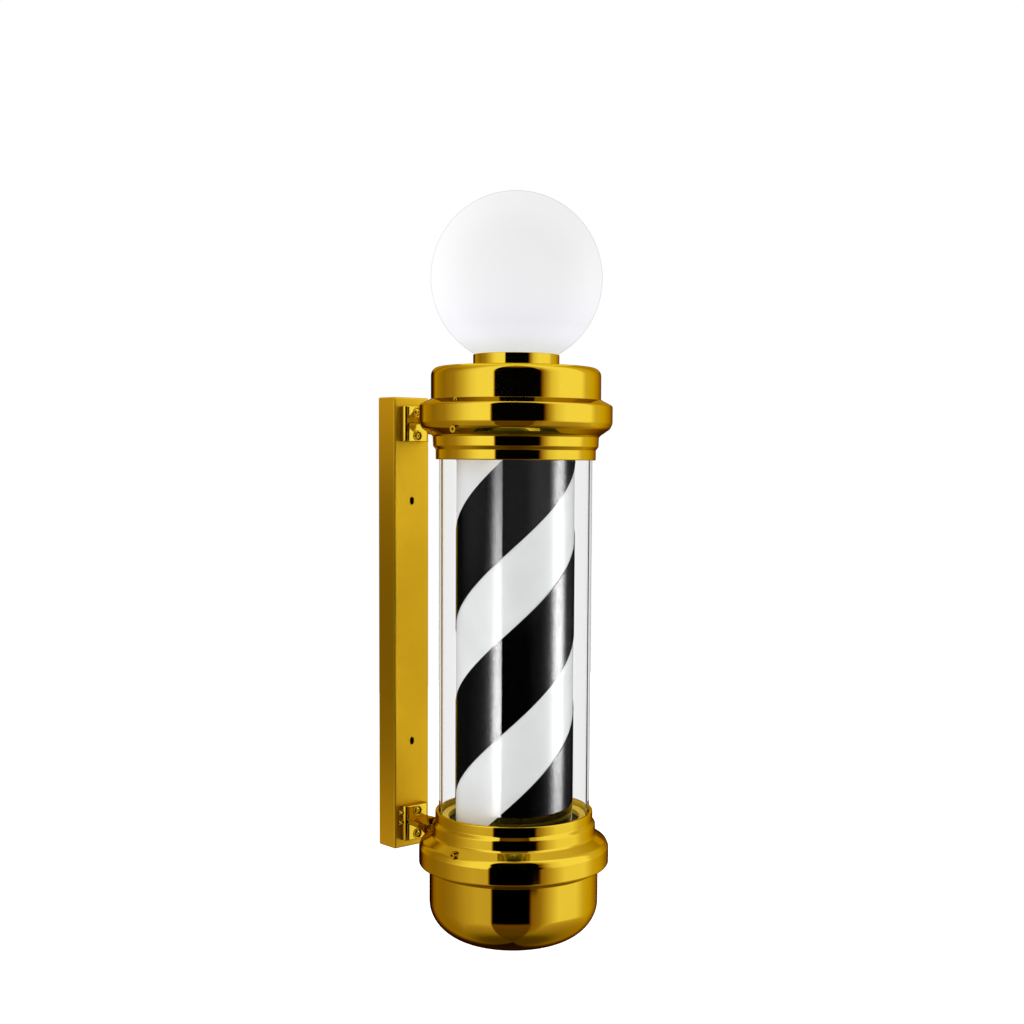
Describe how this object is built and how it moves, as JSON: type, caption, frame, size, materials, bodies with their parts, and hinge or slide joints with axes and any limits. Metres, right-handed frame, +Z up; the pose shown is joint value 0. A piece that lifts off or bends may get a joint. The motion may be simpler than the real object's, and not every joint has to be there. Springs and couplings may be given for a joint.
{
  "type": "barber pole",
  "caption": "Wall-mounted barber pole with a motor-driven striped drum in a clear tube, gold end rings, a bowl, a wall channel and a globe lamp on top",
  "frame": {"origin": "on the wall plane, midway between the two wall screw slots", "axes": "+Z up along the pole, +Y into the wall, +X to the right for someone facing the wall"},
  "size_m": [0.2266, 0.3493, 0.8824],
  "materials": {
    "gold": "bright gold plating, mirror-like with slight waviness",
    "steel": "plain zinc-plated steel",
    "black_metal": "satin black paint",
    "clear_tube": "clear acrylic tube, polished",
    "drum_white": "gloss white translucent drum",
    "stripe_black": "gloss black film",
    "opal": "satin opal white glass",
    "black_rubber": "soft black rubber",
    "black_plastic": "matte black moulding",
    "white_plastic": "matte white moulding",
    "aluminium": "plain extruded aluminium"
  },
  "bodies": {
    "housing": {"wall_channel": "gold", "channel_plug_top": "gold", "channel_plug_bottom": "gold", "inlet_grommet": "black_rubber", "upper_block": "gold", "lower_block": "gold", "block_screws": "gold", "arm_pins": "steel", "upper_ring": "gold", "lower_ring": "gold", "clamp_screws": "gold", "upper_deck": "black_metal", "lower_deck": "black_metal", "upper_gasket": "black_rubber", "lower_gasket": "black_rubber", "outer_tube": "clear_tube", "top_cover": "gold", "cover_screws": "gold", "bottom_bowl": "gold", "bowl_screws": "gold", "globe_collar": "gold", "collar_screws": "steel", "globe_gasket": "black_rubber", "globe": "opal", "globe_screws": "steel", "lamp_bridge": "steel", "bridge_screws": "steel", "lamp_holder": "white_plastic", "lamp_cap": "steel", "lamp_body": "white_plastic", "lamp_dome": "opal", "gear_motor": "steel", "motor_screws": "steel", "lamp_sleeve": "steel", "sleeve_screws": "steel", "bar_holder": "black_plastic", "light_bar": "aluminium", "light_strips": "white_plastic", "bar_pin": "steel", "light_driver": "white_plastic", "driver_screws": "steel", "terminal_block": "white_plastic", "terminal_screws": "steel", "lamp_lead": "black_rubber"},
    "rotor": {"drum": "drum_white", "stripe_film": "stripe_black", "upper_hub": "aluminium", "lower_hub": "aluminium", "upper_bush": "black_plastic", "thrust_washer": "white_plastic", "motor_shaft": "steel", "hub_set_screw": "steel"}
  },
  "joints": [
    {"name": "drum_spin", "type": "hinge", "parent": "housing", "child": "rotor", "pos_m": [0, -0.236, 0], "axis": [0, 0, 1], "continuous": true}
  ]
}
